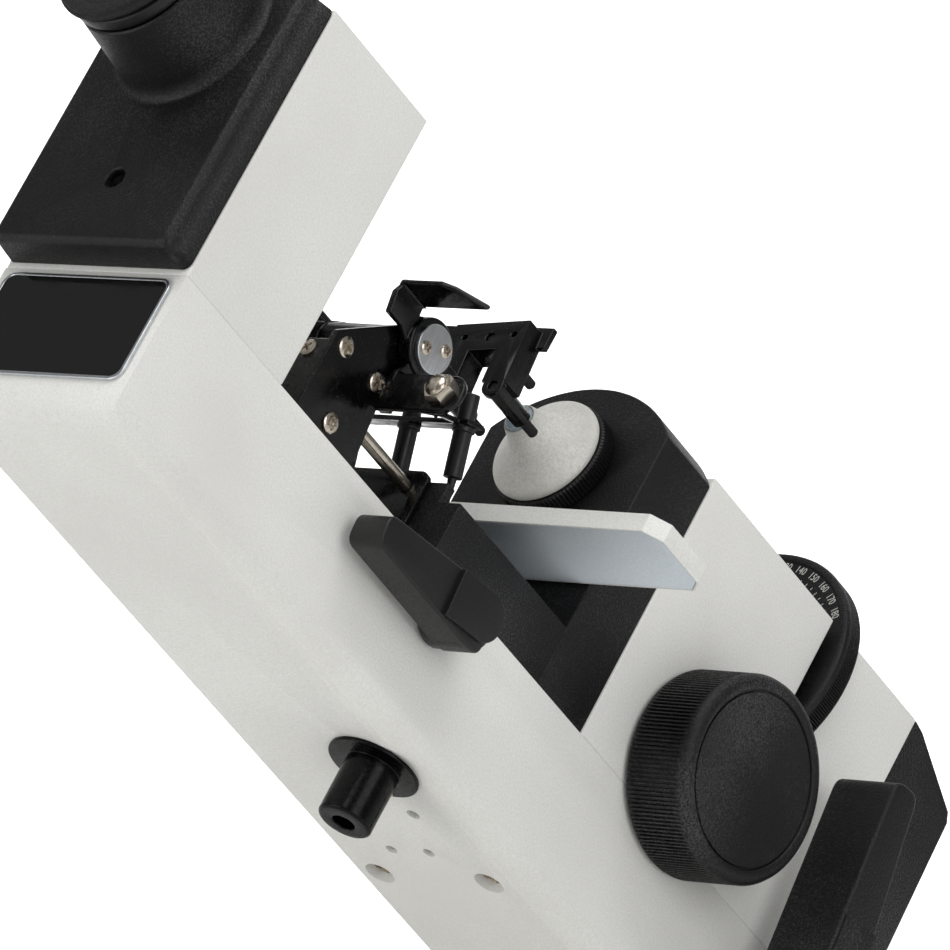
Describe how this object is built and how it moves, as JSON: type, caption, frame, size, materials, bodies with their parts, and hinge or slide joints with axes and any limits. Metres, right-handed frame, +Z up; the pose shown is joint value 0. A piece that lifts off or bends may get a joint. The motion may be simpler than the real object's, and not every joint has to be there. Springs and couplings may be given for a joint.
{
  "type": "lensmeter",
  "caption": "Tilting bench lensmeter with eyepiece, lens table, spring clamp, swing marker, axis wheel and power knob on a weighted base.",
  "frame": {"origin": "centre of the base's footprint on the table top", "axes": "+Z up, -Y towards the user at the eyepiece, +X to the user's right"},
  "size_m": [0.159, 0.3581, 0.4199],
  "materials": {
    "white_paint": "fine-texture off-white paint",
    "black_plastic": "fine-grain black plastic",
    "black_paint": "gloss black paint",
    "black_gloss": "smooth black",
    "rubber": "matte rubber",
    "steel": "bright turned steel",
    "nickel": "nickel plated",
    "aluminium": "brushed aluminium",
    "zinc": "zinc plated sheet",
    "brass": "turned brass",
    "grey_satin": "blue-grey satin paint",
    "white_plastic": "textured white plastic",
    "clear_tip": "translucent bluish plastic",
    "glass": "coated optical glass",
    "green_glass": "green filter glass",
    "board": "solder-masked circuit board",
    "iron": "varnished iron laminations",
    "felt": "ink-soaked felt",
    "red_plastic": "dark red plastic"
  },
  "bodies": {
    "base": {"base_casting": "white_paint", "base_bottom_plate": "zinc", "base_feet": "rubber", "base_screws": "nickel", "transformer": "iron", "mains_inlet": "black_gloss", "switch_bezel": "black_gloss"},
    "switch": {"rocker_switch": "red_plastic"},
    "tube": {"tilt_shaft": "steel", "spine": "white_paint", "head_shell": "white_paint", "head_cover": "black_plastic", "name_panel_frame": "aluminium", "name_panel": "black_gloss", "eyepiece_turret": "black_plastic", "reticle": "glass", "erecting_prism": "glass", "objective_lens": "glass", "front_block": "black_plastic", "lower_block": "white_paint", "nosepiece": "white_plastic", "lens_stop_tip": "clear_tip", "nose_ring": "black_plastic", "collimator_lens": "glass", "wheel_spigot": "steel", "target_guide_rods": "steel", "shaft_bushes": "brass", "lamp_cover": "black_plastic", "lamp_board": "board", "condenser_lens": "glass", "green_filter": "green_glass", "slide_housing": "black_plastic", "ink_pad": "felt", "lug_plate": "black_paint", "rest_post": "black_gloss"},
    "tilt_lock": {"tilt_lock_lever": "black_plastic"},
    "eyepiece_ring": {"dioptre_ring": "black_plastic", "eyecup": "rubber"},
    "eye_cell": {"eye_lens_cell": "black_plastic", "eye_lens": "glass"},
    "axis_wheel": {"axis_wheel": "black_plastic"},
    "power": {"power_shaft": "steel", "power_knob": "black_plastic"},
    "carriage": {"target_carriage": "aluminium"},
    "target": {"target_holder": "aluminium", "target_plate": "green_glass"},
    "table_lever": {"table_lever": "black_plastic", "sector_gear": "steel"},
    "table": {"table_plate": "white_paint", "table_underside": "grey_satin", "table_column": "steel"},
    "holder": {"holder_bracket": "black_paint", "bracket_screws": "nickel", "guide_rods": "nickel"},
    "marker": {"marker_lever": "black_paint", "hub_disc": "aluminium", "pin_bar": "zinc", "ink_pins": "black_plastic"},
    "clamp": {"lens_clamp": "black_paint", "clamp_pegs": "rubber"}
  },
  "joints": [
    {"name": "switch_rock", "type": "hinge", "parent": "base", "child": "switch", "pos_m": [0.069, 0.018, 0.015], "axis": [0, 0, 1], "range_deg": [-12, 0]},
    {"name": "tilt", "type": "hinge", "parent": "base", "child": "tube", "pos_m": [0, 0.06, 0.085], "axis": [1, 0, 0], "range_deg": [-35, 40]},
    {"name": "tilt_lock_turn", "type": "hinge", "parent": "tube", "child": "tilt_lock", "pos_m": [0, 0.06, 0.085], "axis": [1, 0, 0], "range_deg": [-50, 0]},
    {"name": "dioptre_turn", "type": "hinge", "parent": "tube", "child": "eyepiece_ring", "pos_m": [0, -0.15295, 0.39749], "axis": [0, 0.766, -0.6428], "range_deg": [-150, 150]},
    {"name": "eye_cell_slide", "type": "slide", "parent": "tube", "child": "eye_cell", "axis": [0, 0.766, -0.6428], "range_m": [-0.0026, 0.0026]},
    {"name": "axis_turn", "type": "hinge", "parent": "tube", "child": "axis_wheel", "pos_m": [0, 0.10137, 0.18409], "axis": [0, 0.766, -0.6428], "continuous": true},
    {"name": "target_turn", "type": "hinge", "parent": "carriage", "child": "target", "pos_m": [0, 0.0692, 0.21109], "axis": [0, 0.766, -0.6428], "continuous": true},
    {"name": "power_turn", "type": "hinge", "parent": "tube", "child": "power", "pos_m": [0, 0.04198, 0.1603], "axis": [1, 0, 0], "range_deg": [-130, 130]},
    {"name": "carriage_slide", "type": "slide", "parent": "tube", "child": "carriage", "axis": [0, 0.766, -0.6428], "range_m": [-0.0176, 0.0176]},
    {"name": "table_lever_turn", "type": "hinge", "parent": "tube", "child": "table_lever", "pos_m": [0, -0.06927, 0.21331], "axis": [1, 0, 0], "range_deg": [-38, 38]},
    {"name": "table_slide", "type": "slide", "parent": "tube", "child": "table", "axis": [0, 0.6428, 0.766], "range_m": [-0.0138, 0.0138]},
    {"name": "holder_push", "type": "slide", "parent": "tube", "child": "holder", "axis": [0, 0.766, -0.6428], "range_m": [0, 0.018], "stiffness_N_per_m": 200, "springref_m": -0.015},
    {"name": "marker_swing", "type": "hinge", "parent": "holder", "child": "marker", "pos_m": [0, -0.05726, 0.28783], "axis": [1, 0, 0], "range_deg": [0, 69]},
    {"name": "clamp_pull", "type": "slide", "parent": "tube", "child": "clamp", "axis": [0, 0.766, -0.6428], "range_m": [-0.018, 0], "stiffness_N_per_m": 100, "springref_m": 0.01}
  ],
  "couplings": [
    {"joint": "eye_cell_slide", "follows": "dioptre_turn", "m_per_rad": 0.00095493},
    {"joint": "target_turn", "follows": "axis_turn", "ratio": 1},
    {"joint": "carriage_slide", "follows": "power_turn", "m_per_rad": -0.0076},
    {"joint": "table_slide", "follows": "table_lever_turn", "m_per_rad": 0.0205}
  ]
}
